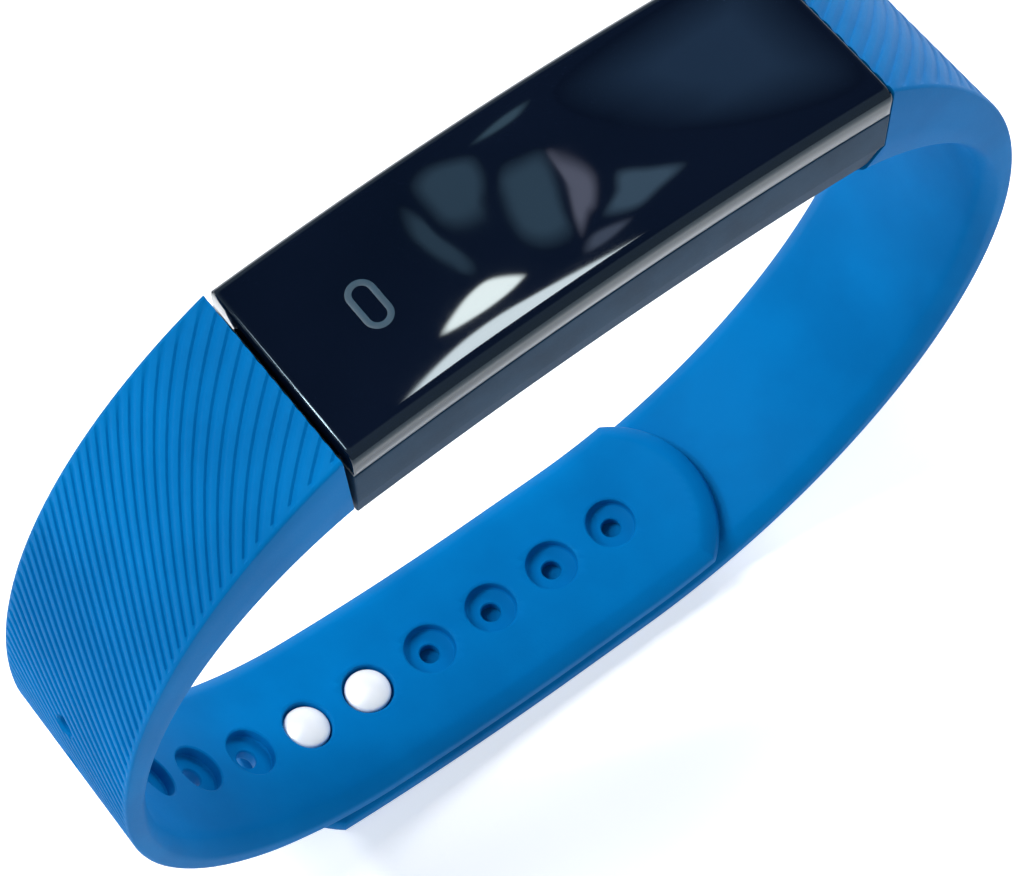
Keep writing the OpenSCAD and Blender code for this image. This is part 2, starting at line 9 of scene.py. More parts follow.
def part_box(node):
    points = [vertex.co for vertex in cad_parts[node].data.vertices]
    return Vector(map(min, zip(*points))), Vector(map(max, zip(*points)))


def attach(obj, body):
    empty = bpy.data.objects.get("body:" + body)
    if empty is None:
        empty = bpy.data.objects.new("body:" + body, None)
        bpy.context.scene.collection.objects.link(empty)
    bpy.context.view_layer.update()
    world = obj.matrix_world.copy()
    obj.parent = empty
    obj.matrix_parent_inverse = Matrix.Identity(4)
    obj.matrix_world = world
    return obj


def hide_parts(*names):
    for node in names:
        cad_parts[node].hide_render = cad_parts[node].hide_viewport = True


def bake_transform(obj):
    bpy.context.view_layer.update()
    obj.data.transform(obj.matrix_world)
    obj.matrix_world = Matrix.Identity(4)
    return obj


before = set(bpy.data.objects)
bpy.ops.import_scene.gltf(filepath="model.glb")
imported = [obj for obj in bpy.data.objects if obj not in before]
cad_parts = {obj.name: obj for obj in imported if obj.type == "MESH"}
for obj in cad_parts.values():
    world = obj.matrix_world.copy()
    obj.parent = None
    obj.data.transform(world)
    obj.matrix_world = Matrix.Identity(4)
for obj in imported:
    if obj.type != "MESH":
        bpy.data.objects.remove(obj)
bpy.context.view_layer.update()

scene = bpy.context.scene
scene.view_settings.view_transform = "Standard"
scene.view_settings.look = "None"

# ---------------------------------------------------------------- sizes, in millimetres
lens_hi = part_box("lens_cover")[1] * 1000
HL, HW, TOP = lens_hi.x, lens_hi.y, lens_hi.z       # half length, half width and top of the module
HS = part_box("long_strap_upper")[1].y * 1000          # half of the straps' width
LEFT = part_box("long_strap_upper")[0].x * 1000
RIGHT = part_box("short_strap_upper")[1].x * 1000
BOW = 200.0                                          # bow of the module
BOW_Z = TOP - BOW
MODULE_T = 9.4
SEAM, CASE_TOP, CASE_LOW = BOW - 2.5, BOW - 2.7, BOW - MODULE_T
END_TOP = BOW_Z + math.sqrt(BOW * BOW - HL * HL)
CORNER_Z = END_TOP - MODULE_T
RIGHT_CUT, LEFT_CUT = 2.4, 1.2                       # cut lower corners of the case
STRAP_TOP = END_TOP - 0.3
T = 2.3                                              # thin part of the straps
LONG_END_T, SHORT_END_T = 8.3, 9.8                   # thickness of the straps' ends
LONG_SLOPE, SHORT_SLOPE = math.radians(26), math.radians(33.5)
LONG_GAP, LONG_GAP_LOW = 0.6, 0.15                   # from the module to the long strap, above and below
CURVE_R, CURVE = 120.0, math.radians(9)              # gentle curve under the clasp
LB, SB = 26.2, 35.0                                  # lower bends
LONG_X, SHORT_X = -HL - 0.9, HL + 0.25
BEND_CX = LEFT + LB
BEND_CZ = T + CURVE_R * (1 - math.cos(CURVE)) + LB * math.cos(CURVE)
FLAT_L = BEND_CX + (CURVE_R - LB) * math.sin(CURVE)
FLAT_R = RIGHT - SB
CURVE_LEN = CURVE_R * CURVE
CURVE_END = 270 - math.degrees(CURVE)
STUDS = [16.0, 22.5]                                 # along the contact face from FLAT_L
STUD_PITCH = STUDS[1] - STUDS[0]
TIP_R = 9.6
LONG_TIP, SHORT_TIP = 19.3, STUDS[1] + 5.2           # tips past FLAT_L, along the contact face
STRAP_GAP = 0.1                                      # between the straps where they overlap
TONGUE, TONGUE_HALF_W, TONGUE_HALF_T = 11.8, 6.0, 1.15
SOCKET_PAST, SOCKET_SIDE, SOCKET_HALF_T = 0.4, 0.06, 1.21
FAR = 20                                             # a cutter's reach past the band


# ---------------------------------------------------------------- strap profiles
def arc(cx, cz, r, a0, a1, n):
    a = np.radians(np.linspace(a0, a1, n))
    return np.stack([cx + r * np.cos(a), cz + r * np.sin(a)], 1)


def join(parts):
    out = [parts[0]]
    for p in parts[1:]:
        out.append(p[1:])
    return np.concatenate(out)


def circle_through(x_edge, x_side, z_edge, z_side):
    """Radius of the inner face: vertical at the side and through the strap end's lower corner."""
    a, b = abs(x_edge - x_side) - T, z_edge - z_side
    return (a * a + b * b) / (2 * a)


def long_end(z):
    """The long strap's end face at height z: it leans in towards the module's lower corner."""
    return -HL - LONG_GAP + (STRAP_TOP - z) * (LONG_GAP - LONG_GAP_LOW) / LONG_END_T


# outer and inner circles (x, z, radius) of each strap's upper part
r_out = (STRAP_TOP - BEND_CZ) / math.cos(LONG_SLOPE)
r_in = circle_through(LONG_X, LEFT, STRAP_TOP - LONG_END_T, BEND_CZ)
LONG_OUT, LONG_IN = (LEFT + r_out, BEND_CZ, r_out), (LEFT + T + r_in, BEND_CZ, r_in)
r_out = (STRAP_TOP - SB) / math.cos(SHORT_SLOPE)
r_in = circle_through(SHORT_X, RIGHT, STRAP_TOP - SHORT_END_T, SB)
SHORT_OUT, SHORT_IN = (RIGHT - r_out, SB, r_out), (RIGHT - T - r_in, SB, r_in)
PAST = 60                                            # steps of each upper arc past the end plane


def angle_at(circle, x):
    return math.degrees(math.acos((x - circle[0]) / circle[2]))


def long_side(circle, lift):
    """One face of the long strap, lift inwards from its outer face."""
    a, past = angle_at(circle, LONG_X), 0.12
    return join([arc(*circle, a - past * (180 - a), a, PAST),
                 arc(*circle, a, 180, 500),
                 arc(BEND_CX, BEND_CZ, LB - lift, 180, CURVE_END, 400),
                 arc(FLAT_L, T + CURVE_R, CURVE_R - lift, CURVE_END, 270, 200),
                 np.array([[FLAT_L, T + lift], [FLAT_R, T + lift]]),
                 arc(FLAT_R, SB, SB - T - lift, 270, 300, 150)])


def short_side(circle, lift):
    """One face of the short strap, lift inwards from its outer face."""
    a, past = angle_at(circle, SHORT_X), 0.2
    return join([arc(*circle, a + past * a, a, PAST),
                 arc(*circle, a, 0, 500),
                 arc(FLAT_R, SB, SB - lift, 0, -90, 500),
                 np.array([[FLAT_R, lift], [FLAT_L, lift]]),
                 arc(FLAT_L, T + CURVE_R, CURVE_R + T - lift, -90, -110, 300)])


class Profile:
    """Maps (s, y, t) to the curved strap: s along the outer face from the module end, t inwards."""

    def __init__(self, outer, inner):
        step = np.hypot(*np.diff(outer, axis=0).T)
        s = np.concatenate([[0], np.cumsum(step)])
        self.s, self.o, self.i = s - s[PAST - 1], outer, inner
        self.thick = np.hypot(*(inner - outer).T)

    def at(self, s):
        """Outer x and z, inner x and z, and thickness at s."""
        return [np.interp(s, self.s, a) for a in (*self.o.T, *self.i.T, self.thick)]

    def world(self, s, y, t, lift=None):
        ox, oz, ix, iz, th = self.at(s)
        if lift is not None:                          # keeps the outer face just clear of what it lies on
            g = lift(s)
            t = g + t * (th - g) / th
        k = t / th
        return np.stack([ox + (ix - ox) * k, y, oz + (iz - oz) * k], -1) / 1000


class Ribs:
    """Fine slanting ribs on the outer face: whole values of fy * y + F(s) are the grooves."""

    def __init__(self, slope, fy):
        x = np.linspace(-16, 150, 4000)
        f = np.interp(x, [p[0] for p in slope], [p[1] for p in slope])
        self.x, self.fy = x, fy
        self.f = np.concatenate([[0], np.cumsum((f[1:] + f[:-1]) / 2 * np.diff(x))])

    def s_of(self, phase, y):
        return np.interp(phase - self.fy * y, self.f, self.x)

    def phase(self, s, y):
        return np.interp(s, self.x, self.f) + self.fy * y


# rows of points over one rib: (share of the pitch from the groove, depth below the crest)
ROWS = [(-0.27, 0.03), (-0.1, 0.2), (0.1, 0.2), (0.27, 0.03), (0.38, 0.008), (0.5, 0.0), (0.62, 0.008)]
OUTER_R = 0.3                                        # rounding of the outer edges
FADE = 0.35                                          # the ribs fade out over this, next to the edges
CHAMFER_W, CHAMFER_D, CHAMFER_R = 1.2, 0.9, 0.14     # inner edges


def strap_mesh(prof, ribs, s0, s1):
    """The strap in flat space (s, y, t): its cross-section swept along rows that follow the ribs."""
    flat = HS - OUTER_R
    outer = sorted(set(np.linspace(-flat, flat, 17)) | {FADE - flat, flat - FADE})
    n = math.hypot(CHAMFER_W, CHAMFER_D)
    uy, ut = -CHAMFER_W / n, CHAMFER_D / n
    # (y, what v is measured from, v): the outer face, the side between its roundings, or the inner face
    edge = [(flat + OUTER_R * math.sin(a), "outer", OUTER_R - OUTER_R * math.cos(a))
            for a in np.radians([30, 60, 90])]
    edge += [(HS, "side", k) for k in (0.33, 0.66)]
    edge += [(HS, "inner", -CHAMFER_D - CHAMFER_R),
             (HS + CHAMFER_R * uy, "inner", -CHAMFER_D + CHAMFER_R * ut),
             (HS - CHAMFER_W * 0.5, "inner", -CHAMFER_D * 0.5),
             (HS - CHAMFER_W - 0.2 * uy, "inner", -0.2 * ut),
             (HS - CHAMFER_W - 0.22, "inner", 0.0)]
    edge_in = HS - CHAMFER_W - 0.9
    section = [(y, "ribbed", min(1.0, max(0.0, (flat - abs(y)) / FADE))) for y in outer] + edge
    section += [(y, "inner", 0.0) for y in np.linspace(edge_in, -edge_in, 15)]
    section += [(-y, k, v) for y, k, v in reversed(edge)]

    first = math.ceil(ribs.phase(s0, 0) - abs(ribs.fy) * HS) - 1
    last = math.floor(ribs.phase(s1, 0) + abs(ribs.fy) * HS) + 1
    phase, depth = np.array([(k + f, dep) for k in range(first, last + 1) for f, dep in ROWS]).T
    columns = []
    for y, kind, v in section:
        s = ribs.s_of(phase, y)
        thick = prof.at(s)[4]
        t = {"ribbed": depth * v,
             "outer": np.full(len(s), v),
             "side": OUTER_R + (thick - CHAMFER_D - CHAMFER_R - OUTER_R) * v,
             "inner": thick + v}[kind]
        columns.append(np.stack([s, np.full(len(s), y), t], 1))
    points = np.stack(columns, 1)
    rows, m = points.shape[:2]
    idx = np.arange(rows * m).reshape(rows, m)
    a, b = idx[:-1], idx[1:]
    quads = np.stack([a, np.roll(a, -1, 1), np.roll(b, -1, 1), b], -1).reshape(-1, 4)
    return points.reshape(-1, 3), quads.tolist() + [idx[0][::-1].tolist(), idx[-1].tolist()]


# ---------------------------------------------------------------- mesh helpers
@contextlib.contextmanager
def editing(ob):
    """The object's mesh as a bmesh, written back at the end."""
    bm = bmesh.new()
    bm.from_mesh(ob.data)
    yield bm
    bm.to_mesh(ob.data)
    bm.free()


def new_mesh(name, verts, faces):
    me = bpy.data.meshes.new(name)
    me.from_pydata([tuple(map(float, v)) for v in verts], [], faces)
    me.update()
    ob = bpy.data.objects.new(name, me)
    scene.collection.objects.link(ob)
    with editing(ob) as bm:
        bmesh.ops.recalc_face_normals(bm, faces=bm.faces)
    return ob


def boolean(ob, cutter, solver="MANIFOLD"):
    mod = ob.modifiers.new("cut", "BOOLEAN")
    mod.operation, mod.solver, mod.object = "DIFFERENCE", solver, cutter
    dg = bpy.context.evaluated_depsgraph_get()
    me = bpy.data.meshes.new_from_object(ob.evaluated_get(dg))
    before = len(ob.data.polygons)
    ob.modifiers.clear()
    if len(me.polygons) == 0 or len(me.polygons) == before and solver == "MANIFOLD":
        bpy.data.meshes.remove(me)
        return boolean(ob, cutter, "EXACT") if solver == "MANIFOLD" else ob
    old, ob.data = ob.data, me
    bpy.data.meshes.remove(old)
    bpy.data.objects.remove(cutter)
    return ob


def lathe(profile, turn, n, centre=(0, 0, 0), axes=None):
    """A closed solid: profile is a closed list of (radius, height); turn is (start, end) in degrees."""
    full = abs(turn[1] - turn[0]) >= 360
    count = n if full else n + 1
    verts, m = [], len(profile)
    ex, ey, ez = axes or (Vector((1, 0, 0)), Vector((0, 1, 0)), Vector((0, 0, 1)))
    for i in range(count):
        a = math.radians(turn[0] + (turn[1] - turn[0]) * i / n)
        for r, h in profile:
            verts.append(Vector(centre) + ex * (r * math.cos(a)) + ey * (r * math.sin(a)) + ez * h)
    faces = []
    for i in range(n):
        j = (i + 1) % count
        for k in range(m):
            l = (k + 1) % m
            faces.append([i * m + k, i * m + l, j * m + l, j * m + k])
    if not full:
        faces += [list(range(m))[::-1], [(count - 1) * m + k for k in range(m)]]
    return verts, faces


def merge(name, solids):
    verts, faces = [], []
    for v, f in solids:
        k = len(verts)
        verts += list(v)
        faces += [[i + k for i in q] for q in f]
    ob = new_mesh(name, verts, faces)
    with editing(ob) as bm:
        bmesh.ops.remove_doubles(bm, verts=bm.verts, dist=1e-5)
        bmesh.ops.recalc_face_normals(bm, faces=bm.faces)
    return ob


def tip_cutter(sc, r, th):
    """Everything beyond a round tip of radius r, with the strap's chamfers following the edge."""
    prof = [(r - 0.35, -0.05), (r - 0.09, 0.09), (r, 0.3), (r, th - 1.04), (r - 0.11, th - 0.8),
            (r - 1.06, th - 0.12), (r - 1.5, th + 0.02), (r - 1.7, th + 1.0), (r + 25, th + 1.0),
            (r + 25, -1.5), (r - 0.5, -1.5)]
    return lathe(prof, (-90, 90), 64, (sc, 0, 0))


def hole_cutter(s, th):
    """A strap hole with its recess, both with slightly rounded rims."""
    prof = [(0.001, -1.0), (1.15, -1.0), (1.05, 0.0), (0.88, 0.18), (0.85, 0.3), (0.85, th - 1.1 - 0.12),
            (0.95, th - 1.1), (1.88, th - 1.1), (2.08, th - 1.03), (2.2, th - 0.85), (2.2, th - 0.25),
            (2.26, th - 0.09), (2.4, th + 0.0), (2.55, th + 0.05), (2.55, th + 1.5), (0.001, th + 1.5)]
    return lathe(prof, (0, 360), 40, (s, 0, 0))


def curl(ob, prof, lift=None):
    """Moves the flat strap to its place in the loop."""
    with editing(ob) as bm:
        bmesh.ops.triangulate(bm, faces=[f for f in bm.faces if len(f.verts) > 4])
        co = np.array([v.co[:] for v in bm.verts])
        for v, p in zip(bm.verts, prof.world(*co.T, lift)):
            v.co = p
        bmesh.ops.recalc_face_normals(bm, faces=bm.faces)


def prism(points, y0, y1, name):
    """A prism along Y over points (x, z), in millimetres."""
    n = len(points)
    verts = [(x / 1000, y / 1000, z / 1000) for y in (y0, y1) for x, z in points]
    faces = [list(range(n)), list(range(n, 2 * n))[::-1]]
    faces += [[i, (i + 1) % n, n + (i + 1) % n, n + i] for i in range(n)]
    return new_mesh(name, verts, faces)


def box_along(origin, tilt, x0, x1, half_y, half_t, name):
    """A box about origin (x, z), tilted in the XZ plane by tilt degrees."""
    a = math.radians(tilt)
    d, u = (math.cos(a), math.sin(a)), (-math.sin(a), math.cos(a))
    pts = [(origin[0] + d[0] * p + u[0] * q, origin[1] + d[1] * p + u[1] * q)
           for p, q in ((x0, -half_t), (x1, -half_t), (x1, half_t), (x0, half_t))]
    return prism(pts, -half_y, half_y, name)


def smooth(ob, angle=32):
    """Smooth shading that breaks at edges sharper than angle."""
    with editing(ob) as bm:
        for f in bm.faces:
            f.smooth = True
        for e in bm.edges:
            e.smooth = len(e.link_faces) == 2 and e.calc_face_angle(0) < math.radians(angle)
    return ob


def middle(outer, inner, x):
    """Height of the middle of a strap's thick end at x, between its two circles."""
    return sum(cz + math.sqrt(r ** 2 - (x - cx) ** 2) for cx, cz, r in (outer, inner)) / 2


def tilt(outer, inner, x, run):
    """Slope of a strap's middle line, in degrees, over a run from x."""
    rise = middle(outer, inner, x) - middle(outer, inner, x + run)
    return math.degrees(math.atan2(rise, abs(run)))


# ---------------------------------------------------------------- the two straps
long_p = Profile(long_side(LONG_OUT, 0), long_side(LONG_IN, T))
short_p = Profile(short_side(SHORT_OUT, 0), short_side(SHORT_IN, T))
# ribs per millimetre at distances from the module end, and across the strap
long_ribs = Ribs([(-16, 0.42), (0, 0.46), (3, 0.5), (7, 0.62), (11, 0.76), (15, 0.86), (21, 0.92), (27, 0.88),
                  (33, 0.83), (150, 0.82)], 0.68)
short_ribs = Ribs([(-16, 0.42), (3, 0.45), (12, 0.5), (18, 0.64), (26, 0.8), (150, 0.82)], -0.73)

long_mid = middle(LONG_OUT, LONG_IN, LONG_X)
long_tilt = tilt(LONG_OUT, LONG_IN, LONG_X, -0.87 * TONGUE)
short_mid = middle(SHORT_OUT, SHORT_IN, SHORT_X)
short_tilt = tilt(SHORT_OUT, SHORT_IN, SHORT_X, 0.78 * TONGUE)

long_flat = long_p.s[np.argmin(np.hypot(long_p.o[:, 0] - FLAT_L, long_p.o[:, 1] - T))]
short_flat = short_p.s[np.argmin(np.hypot(short_p.o[:, 0] - FLAT_L, short_p.o[:, 1]))]
long_tip_s = long_flat + LONG_TIP
short_tip_s = short_flat + (CURVE_R + T) * SHORT_TIP / CURVE_R

long_strap = new_mesh("long_strap", *strap_mesh(long_p, long_ribs, -4.0, long_tip_s + 4))
cutters = [tip_cutter(long_tip_s - TIP_R, TIP_R, T)]
for i in range(1, 13):
    s = long_flat - (STUDS[0] + STUD_PITCH * (i - 5))
    cutters.append(hole_cutter(s, float(long_p.at(s)[4])))
boolean(long_strap, merge("cutter", cutters))
lift_from, lift_over = long_flat - SHORT_TIP - 4, 4
curl(long_strap, long_p, lambda s: STRAP_GAP * np.clip((s - lift_from) / lift_over, 0, 1))
low, high = BEND_CZ + 5, TOP + 8
boolean(long_strap, prism([(long_end(low), low), (0, low), (0, high), (long_end(high), high)],
                          -FAR, FAR, "cutter"))
boolean(long_strap, box_along((-HL, long_mid), long_tilt, -TONGUE - SOCKET_PAST, 5,
                              TONGUE_HALF_W + SOCKET_SIDE, SOCKET_HALF_T, "cutter"))

short_strap = new_mesh("short_strap", *strap_mesh(short_p, short_ribs, -7.0, short_tip_s + 4))
boolean(short_strap, merge("cutter", [tip_cutter(short_tip_s - TIP_R, TIP_R, T)]))
curl(short_strap, short_p)
corner = CORNER_Z + RIGHT_CUT
boolean(short_strap, prism([(0, corner - SHORT_X), (SHORT_X, corner), (SHORT_X, high), (0, high)],
                           -FAR, FAR, "cutter"))
boolean(short_strap, box_along((HL, short_mid), -short_tilt, -2, TONGUE + SOCKET_PAST,
                               TONGUE_HALF_W + SOCKET_SIDE, SOCKET_HALF_T, "cutter"))

for ob, nodes in ((long_strap, ("long_strap_upper", "long_strap_tail")),
                  (short_strap, ("short_strap_upper", "short_strap_tail"))):
    smooth(ob)
    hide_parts(*nodes)

# ---------------------------------------------------------------- the module's shell
def bowed_shell(name, profile, stations, cut=None):
    """Sweeps a closed profile of (y, radius) along the module's bow. stations are (x, inset)."""
    verts, m = [], len(profile)
    middle_r = sum(r for _, r in profile) / m
    for x, inset in stations:
        for y, r in profile:
            ys = math.copysign(max(abs(y) - inset, 0), y)
            rs = r - inset if r > middle_r else r + inset
            z = BOW_Z + math.sqrt(rs * rs - x * x)
            if cut:
                z = max(z, cut(x) + inset)
            verts.append((x / 1000, ys / 1000, z / 1000))
    faces = []
    for i in range(len(stations) - 1):
        for k in range(m):
            l = (k + 1) % m
            faces.append([i * m + k, i * m + l, (i + 1) * m + l, (i + 1) * m + k])
    faces += [list(range(m))[::-1], [(len(stations) - 1) * m + k for k in range(m)]]
    ob = new_mesh(name, verts, faces)
    with editing(ob) as bm:
        bmesh.ops.remove_doubles(bm, verts=bm.verts, dist=1e-7)
        bmesh.ops.dissolve_degenerate(bm, dist=1e-8, edges=bm.edges)
        bmesh.ops.recalc_face_normals(bm, faces=bm.faces)
    return ob


def stations(n, r):
    """x along the module, with a small rounding of radius r at both ends."""
    ends = [(HL - r + r * math.sin(a), r - r * math.cos(a)) for a in np.radians([0, 30, 60, 90])]
    mid = [(x, 0.0) for x in np.linspace(-HL + r, HL - r, n)[1:-1]]
    return [(-x, i) for x, i in reversed(ends)] + mid + ends


EDGE, CROWN_FROM, CROWN = 7.2, 1.8, 0.14             # the top is crowned a little towards its long edges


def lens_drop(y):
    q = max(0.0, abs(y) - CROWN_FROM) / (EDGE - CROWN_FROM)
    return CROWN * q * q


slope = math.atan(2 * CROWN / (EDGE - CROWN_FROM))
roll = (HW - EDGE) / (1 - math.sin(slope))
half = [(y, BOW - lens_drop(y)) for y in np.linspace(0, EDGE, 22)]
half += [(HW - roll + roll * math.sin(a), BOW - CROWN - roll * math.cos(slope) + roll * math.cos(a))
         for a in np.linspace(slope, math.pi / 2, 16)[1:]]
half += [(HW, SEAM + 0.12), (HW - 0.04, SEAM + 0.03), (HW - 0.12, SEAM)]
lens_profile = [(-y, r) for y, r in reversed(half[1:])] + half + [(0, SEAM)]
lens = smooth(bowed_shell("lens_glass", lens_profile, stations(150, 0.16)), 40)
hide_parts("lens_cover")
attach(lens, "module")


def rounded(points, r, n=4):
    """Rounds each corner of a closed outline by r."""
    out = []
    for i, p in enumerate(points):
        p = Vector(p)
        a, b = Vector(points[i - 1]) - p, Vector(points[(i + 1) % len(points)]) - p
        k = min(r, a.length * 0.45, b.length * 0.45)
        a, b = p + a.normalized() * k, p + b.normalized() * k
        for j in range(n + 1):
            u = j / n
            q = a * (1 - u) ** 2 + p * 2 * u * (1 - u) + b * u * u
            out.append((q.x, q.y))
    return out


case_outline = rounded([(-HW, CASE_TOP), (-HW, CASE_LOW + 3), (-HW + 0.35, CASE_LOW + 1),
                        (-HW + 1.35, CASE_LOW), (HW - 1.35, CASE_LOW), (HW - 0.35, CASE_LOW + 1),
                        (HW, CASE_LOW + 3), (HW, CASE_TOP)], 0.14)


def corner_cut(x):
    """Lowest z that the cut lower corners leave at x."""
    big, small = CORNER_Z + (x - (HL - RIGHT_CUT)), CORNER_Z + (-x - (HL - LEFT_CUT))
    return max(big if x > HL - RIGHT_CUT else -FAR, small if x < -HL + LEFT_CUT else -FAR)


# more stations over the two cut corners
fine = sorted(set([(x, 0.0) for x in np.linspace(HL - 2.6, HL - 0.2, 13)] +
                  [(x, 0.0) for x in np.linspace(-HL + 0.2, -HL + 1.4, 7)]))
case_st = sorted(stations(70, 0.14)[4:-4] + fine)
ends = stations(3, 0.14)
case_st = ends[:4] + [s for s in case_st if abs(s[0]) < HL - 0.15] + ends[-4:]
case = bowed_shell("case_body", case_outline, case_st, cut=corner_cut)
tongue = box_along((HL, short_mid), -short_tilt, -1.5, TONGUE, TONGUE_HALF_W, TONGUE_HALF_T, "case_tongue")
with editing(tongue) as bm:
    bmesh.ops.bevel(bm, geom=bm.edges[:], offset=0.0003, segments=2, affect="EDGES")
smooth(case, 28)
smooth(tongue, 40)
for ob in (case, tongue):
    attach(ob, "module")
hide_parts("lower_case")


# the lit digit, lying on the lens
def digit_zero(cx, cy, w, h, stroke, lift):
    def loop(hw, hh, n=12):
        """An upright oblong with round ends."""
        return [(hw * math.cos(a), side * (hh - hw) + hw * math.sin(a))
                for side, start in ((1, 0), (1, 90), (-1, 180), (-1, 270))
                for a in np.radians(np.linspace(start, start + 90, n))]
    rings = [loop(w / 2 - k, h / 2 - k) for k in (0.0, stroke * 0.08, stroke * 0.5, stroke * 0.92, stroke)]
    up = [0.0, lift, lift, lift, 0.0]
    verts, n = [], len(rings[0])
    for ring, u in zip(rings, up):
        for x, y in ring:
            X, Y = cx + x, cy + y
            r = BOW - lens_drop(Y) + u - 0.004
            verts.append((X / 1000, Y / 1000, (BOW_Z + math.sqrt(r * r - X * X)) / 1000))
    faces = [[i * n + k, i * n + (k + 1) % n, (i + 1) * n + (k + 1) % n, (i + 1) * n + k]
             for i in range(4) for k in range(n)]
    faces += [[4 * n + k, 4 * n + (k + 1) % n, (k + 1) % n, k] for k in range(n)]
    return verts, faces


digit_mesh = digit_zero(cx=-15.4, cy=0.1, w=2.25, h=4.1, stroke=0.5, lift=0.012)
digit = smooth(new_mesh("display_digit", *digit_mesh), 60)
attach(digit, "module")


# ---------------------------------------------------------------- clasp studs
def on_contact(c):
    """Place and axes at distance c along the contact face, with the last axis towards the wrist."""
    if c > CURVE_LEN:
        a, centre, r = CURVE + (c - CURVE_LEN) / LB, (BEND_CX, BEND_CZ), LB
    else:
        a, centre, r = c / CURVE_R, (FLAT_L, T + CURVE_R), CURVE_R
    n = Vector((math.sin(a), 0, math.cos(a)))
    p = Vector((centre[0], 0, centre[1])) - n * r
    return p, (Vector((math.cos(a), 0, -math.sin(a))), Vector((0, 1, 0)), n)


stud_base = T - 1.1 + 0.15
stud_edge, stud_r, stud_top = stud_base + 0.585, 1.95, stud_base + 1.3
dome_h = 0.715
dome_r = (stud_r ** 2 + dome_h ** 2) / (2 * dome_h)
foot = -T / 2                                        # middle of the plate inside the strap
stud_prof = [(0.001, foot - 0.3), (2.4, foot - 0.3), (2.5, foot - 0.2), (2.5, foot + 0.2), (2.4, foot + 0.3),
             (0.75, foot + 0.3), (0.75, stud_base), (1.7, stud_base), (1.88, stud_base + 0.06),
             (stud_r, stud_base + 0.2), (stud_r, stud_edge - 0.1)]
stud_prof += [(dome_r * math.sin(a) * 0.995, stud_top - dome_r + dome_r * math.cos(a))
              for a in np.linspace(math.asin(stud_r / dome_r) * 0.965, 0.0004, 14)]
studs = []
for name, c in zip(("stud_right", "stud_left"), STUDS):
    ob = merge(name, [lathe(stud_prof, (0, 360), 64, *on_contact(c))])
    ob.data.transform(Matrix.Scale(0.001, 4))
    smooth(ob, 40)
    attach(ob, "clasp_end")
    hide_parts("clasp_studs")
    studs.append(ob)


# ---------------------------------------------------------------- materials
def rgb(*c):
    """sRGB 0-255 to linear."""
    out = []
    for v in c:
        v /= 255
        out.append(v / 12.92 if v <= 0.04045 else ((v + 0.055) / 1.055) ** 2.4)
    return (*out, 1.0)


def material(name, low, high, rough, patch, grain, bump, depth=0.00002, metallic=0.0, spec=0.5,
             tint=(1, 1, 1), streak=None, emit=None):
    """Colour from low to high, both sRGB 0-255, in patches of 1/patch metres, with a fine grain."""
    m = bpy.data.materials.new(name)
    m.use_nodes = True
    nt = m.node_tree
    nodes, link = nt.nodes, nt.links.new
    b = nodes["Principled BSDF"]
    co = nodes.new("ShaderNodeTexCoord")
    mp = nodes.new("ShaderNodeMapping")
    if streak:
        mp.inputs["Scale"].default_value = streak
    link(co.outputs["Object"], mp.inputs["Vector"])
    big = nodes.new("ShaderNodeTexNoise")
    big.inputs["Scale"].default_value, big.inputs["Detail"].default_value = patch, 4.0
    link(mp.outputs["Vector"], big.inputs["Vector"])
    ramp = nodes.new("ShaderNodeValToRGB")
    for stop, position, colour in zip(ramp.color_ramp.elements, (0.35, 0.65), (low, high)):
        stop.position, stop.color = position, rgb(*colour)
    link(big.outputs["Fac"], ramp.inputs["Fac"])
    link(ramp.outputs["Color"], b.inputs["Base Color"])
    small = nodes.new("ShaderNodeTexNoise")
    small.inputs["Scale"].default_value, small.inputs["Detail"].default_value = grain, 3.0
    link(mp.outputs["Vector"], small.inputs["Vector"])
    rg = nodes.new("ShaderNodeMapRange")
    rg.inputs["To Min"].default_value, rg.inputs["To Max"].default_value = rough
    link(small.outputs["Fac"], rg.inputs["Value"])
    link(rg.outputs["Result"], b.inputs["Roughness"])
    if bump:
        bp = nodes.new("ShaderNodeBump")
        bp.inputs["Strength"].default_value, bp.inputs["Distance"].default_value = bump, depth
        link(small.outputs["Fac"], bp.inputs["Height"])
        link(bp.outputs["Normal"], b.inputs["Normal"])
    b.inputs["Metallic"].default_value = metallic
    b.inputs["IOR"].default_value = 1.5
    b.inputs["Specular IOR Level"].default_value = spec
    b.inputs["Specular Tint"].default_value = (*tint, 1)
    if emit:
        b.inputs["Emission Color"].default_value, b.inputs["Emission Strength"].default_value = emit
    return m


rubber = material("blue_rubber", (0, 98, 160), (0, 108, 173), (0.45, 0.6), patch=90, grain=5200,
                  bump=0.35, spec=0.05, tint=(0.3, 0.8, 1.0))
glass = material("black_glass", (5, 11, 24), (8, 15, 30), (0.015, 0.05), patch=45, grain=160, bump=0.0,
                 tint=(0.62, 0.86, 1.0))
case_mat = material("case_plastic", (25, 50, 72), (32, 58, 81), (0.45, 0.6), patch=300, grain=7000,
                    bump=0.5, spec=0.1, tint=(0.6, 0.85, 1.0))
# the seal's light grey is a painted highlight: it puts the bright line along the seam onto the seal under any
# light
seal_and_seam_highlight_mat = material("seal_grey", (120, 128, 136), (150, 158, 166), (0.25, 0.4), patch=200, grain=3000,
                    bump=0.1)
silver = material("stud_silver", (246, 247, 248), (253, 253, 253), (0.36, 0.46), metallic=0.25, patch=400,
                  grain=9000, bump=0.1, depth=0.00001)
digit_mat = material("digit_light", (34, 58, 72), (42, 67, 82), (0.4, 0.5), patch=700, grain=2000,
                     bump=0.0, emit=(rgb(34, 58, 74), 0.25))
black = material("black_plastic", (18, 19, 21), (28, 29, 31), (0.4, 0.55), patch=300, grain=6000, bump=0.3)

for m, obs in ((rubber, (long_strap, short_strap)), (glass, (lens,)), (case_mat, (case, tongue)),
               (digit_mat, (digit,)), (silver, studs)):
    for ob in obs:
        ob.data.materials.clear()
        ob.data.materials.append(m)

